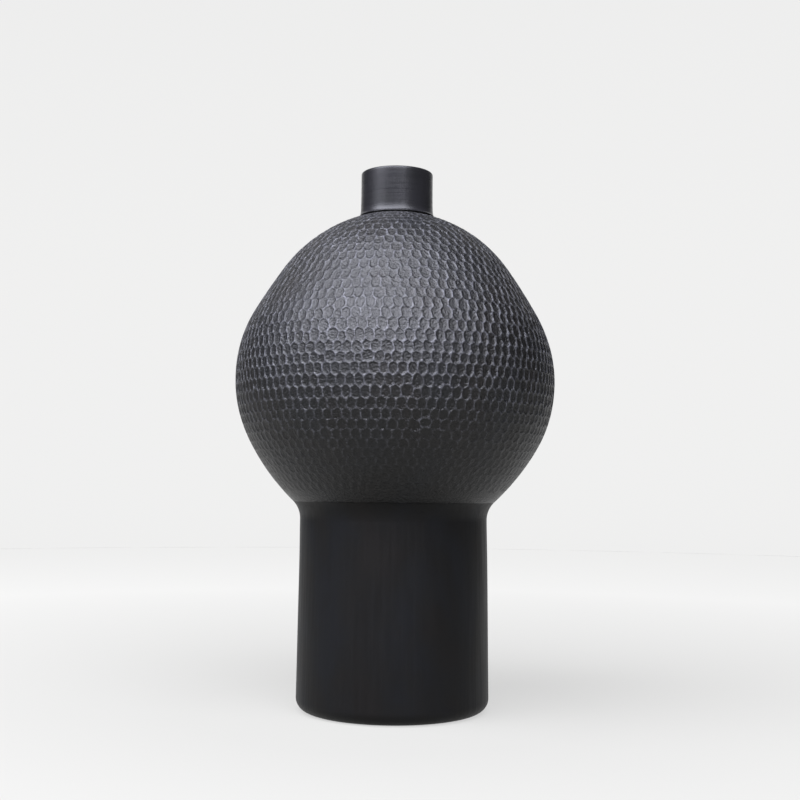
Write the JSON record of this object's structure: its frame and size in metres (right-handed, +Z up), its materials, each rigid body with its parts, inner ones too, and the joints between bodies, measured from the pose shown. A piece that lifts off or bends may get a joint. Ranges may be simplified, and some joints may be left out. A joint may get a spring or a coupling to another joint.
{
  "type": "clay pot",
  "caption": "Tall black clay pot: a plain cylinder base carries a round globe with rows of impressed cells, closed by a short straight neck with an open mouth.",
  "frame": {"origin": "middle of the flat face that the pot stands on", "axes": "+Z up the pot's axis to the mouth; X and Y are alike, because the pot is round"},
  "size_m": [0.2378, 0.2378, 0.4],
  "materials": {
    "smooth_clay": "smoothed smoke-fired black clay, dull satin",
    "impressed_clay": "smoke-fired black clay with rows of pressed cells, satin with a graphite sheen on the ridges",
    "burnished_clay": "burnished smoke-fired black clay, satin",
    "inner_clay": "unburnished dark clay, matte"
  },
  "bodies": {
    "root": {"floor_slab": "smooth_clay", "foot_coil": "inner_clay", "base_cylinder": "smooth_clay", "waist_coil": "smooth_clay", "lower_bowl": "impressed_clay", "seam_coil": "inner_clay", "upper_dome": "impressed_clay", "neck_coil": "inner_clay", "neck_collar": "burnished_clay"}
  },
  "joints": []
}
